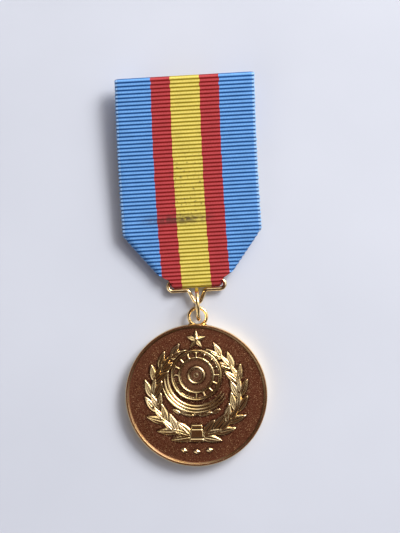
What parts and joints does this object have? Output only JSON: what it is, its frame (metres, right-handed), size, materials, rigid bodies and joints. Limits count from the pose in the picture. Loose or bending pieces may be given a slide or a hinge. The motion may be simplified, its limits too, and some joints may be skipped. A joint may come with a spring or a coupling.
{
  "type": "service medal",
  "caption": "Round gilt medal on a jump ring and V-shaped wire hanger, hung from a striped ribbon folded to a point, with a brooch pin behind.",
  "frame": {"origin": "centre of the disc's flat back, on the surface the medal lies on", "axes": "+X across the ribbon, +Y along the ribbon towards the brooch, +Z out of the medal's face"},
  "size_m": [0.0371, 0.0989, 0.0085],
  "materials": {
    "gilt_bronze": "sandblasted field, polished relief and rim",
    "gilt_wire": "polished",
    "ribbon_cloth": "ribbed weave, blue, red and yellow stripes",
    "card": "matt",
    "thread": "matt",
    "nickel": "satin nickel plate"
  },
  "bodies": {
    "drape": {"ribbon": "ribbon_cloth", "ribbon_card": "card", "ribbon_stitches": "thread", "brooch_plate": "nickel", "brooch_stitches": "thread", "hinge_bracket": "nickel", "hinge_rivet": "nickel", "catch_housing": "nickel"},
    "pin": {"pin_stem": "nickel"},
    "collar": {"catch_collar": "nickel"},
    "hanger": {"hanger_wire": "gilt_wire"},
    "ring": {"jump_ring": "gilt_wire"},
    "medal": {"medal_disc": "gilt_bronze", "suspension_eye": "gilt_bronze"}
  },
  "joints": [
    {"name": "pin_open", "type": "hinge", "parent": "drape", "child": "pin", "pos_m": [0.01362, 0.07614, 0.00135], "axis": [0, -0.9984, -0.0573], "range_deg": [0, 100]},
    {"name": "catch_lock", "type": "hinge", "parent": "drape", "child": "collar", "pos_m": [-0.01038, 0.07614, 0.00135], "axis": [-1, 0, 0], "range_deg": [0, 90]},
    {"name": "hanger_swing", "type": "hinge", "parent": "drape", "child": "hanger", "pos_m": [0.00162, 0.02904, 0.00165], "axis": [1, 0, 0], "range_deg": [0, 70]},
    {"name": "ring_swing", "type": "hinge", "parent": "hanger", "child": "ring", "pos_m": [0.00162, 0.02344, 0.00165], "axis": [1, 0, 0], "range_deg": [0, 100]},
    {"name": "medal_swing", "type": "hinge", "parent": "ring", "child": "medal", "pos_m": [0.00162, 0.02526, 0.00395], "axis": [1, 0, 0], "range_deg": [-81.1, 0]}
  ]
}
